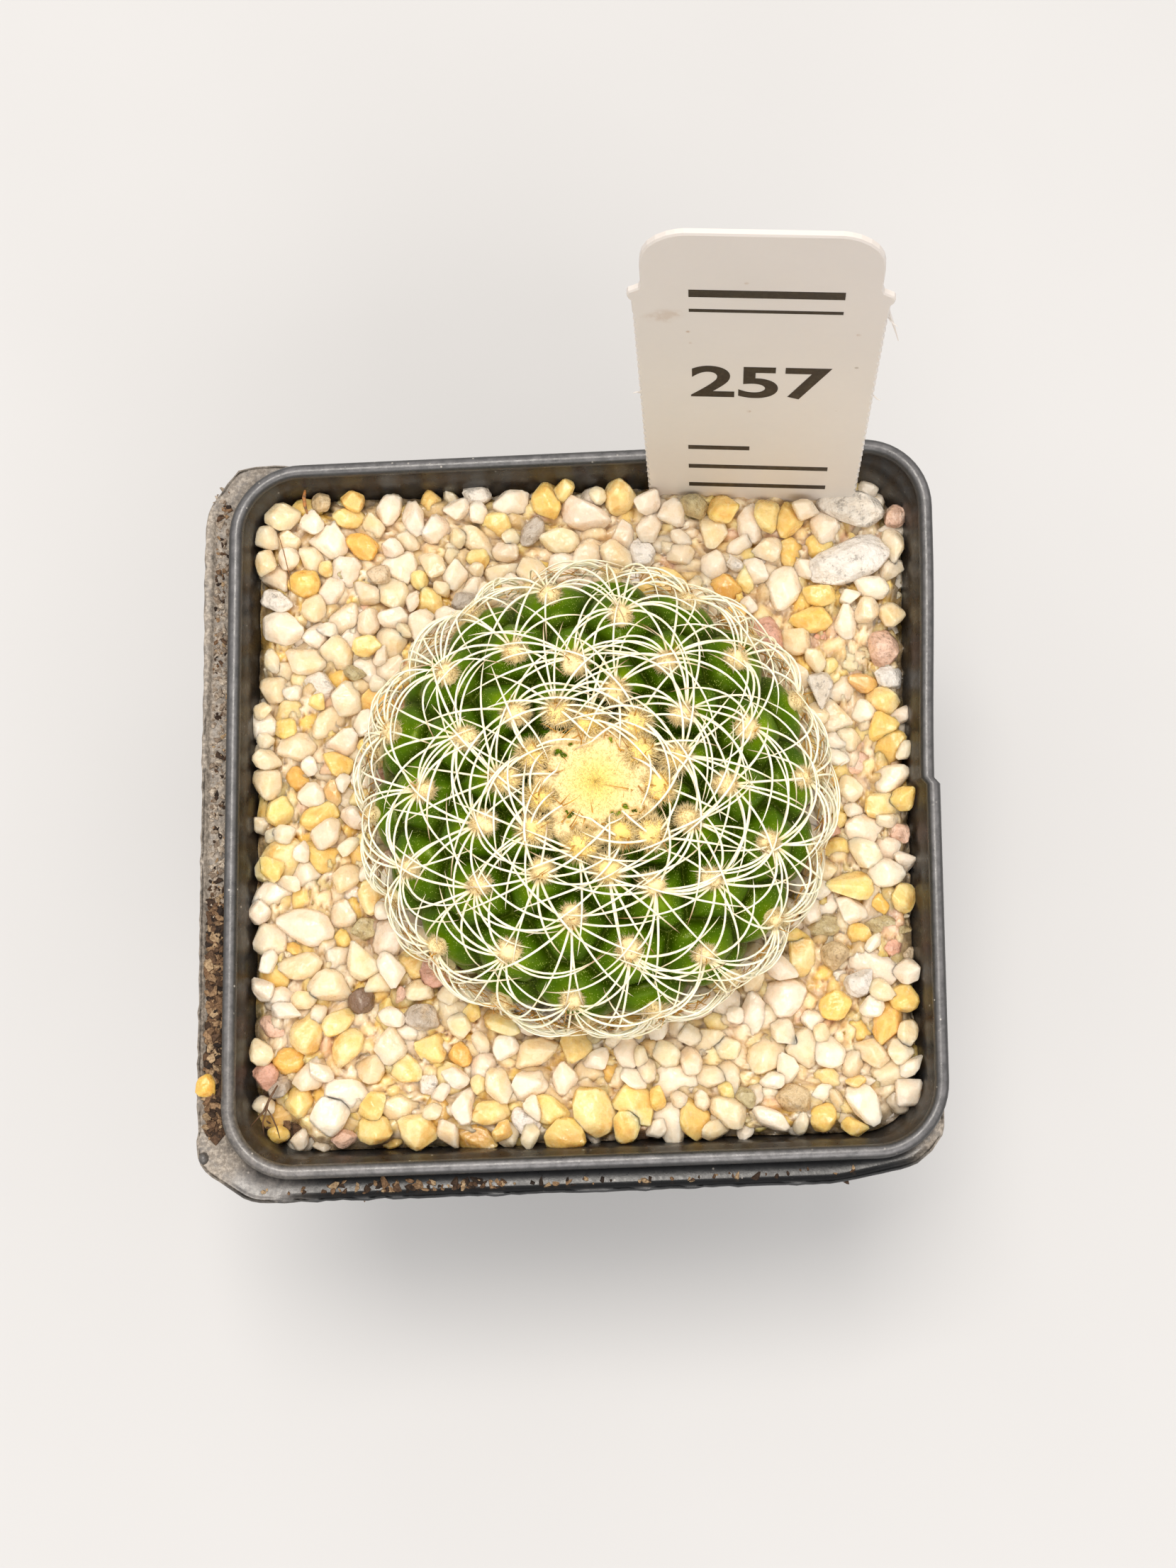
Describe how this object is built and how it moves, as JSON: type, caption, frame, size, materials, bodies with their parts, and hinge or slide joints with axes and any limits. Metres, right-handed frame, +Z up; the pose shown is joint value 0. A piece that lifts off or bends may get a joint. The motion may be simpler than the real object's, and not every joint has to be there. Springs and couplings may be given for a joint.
{
  "type": "potted cactus",
  "caption": "Small disc-shaped cactus with arching pale spines and a woolly crown, in a square plastic nursery pot with quartz grit and an upright plant label.",
  "frame": {"origin": "middle of the pot's flat underside", "axes": "+Z up along the pot's axis, -Y towards the front of the pot, which the label faces, +X to the right of it"},
  "size_m": [0.0725, 0.0755, 0.1113],
  "materials": {
    "pot_plastic": "satin",
    "compost": "matte",
    "quartz_grit": "satin",
    "plant_skin": "satin",
    "spine": "satin",
    "wool": "matte",
    "label_plastic": "satin"
  },
  "bodies": {
    "root": {"pot": "pot_plastic", "soil": "compost", "gravel_topping": "quartz_grit", "stray_stone": "quartz_grit", "cactus_body": "plant_skin", "spines": "spine", "crown_wool": "wool", "plant_label": "label_plastic"}
  },
  "joints": []
}
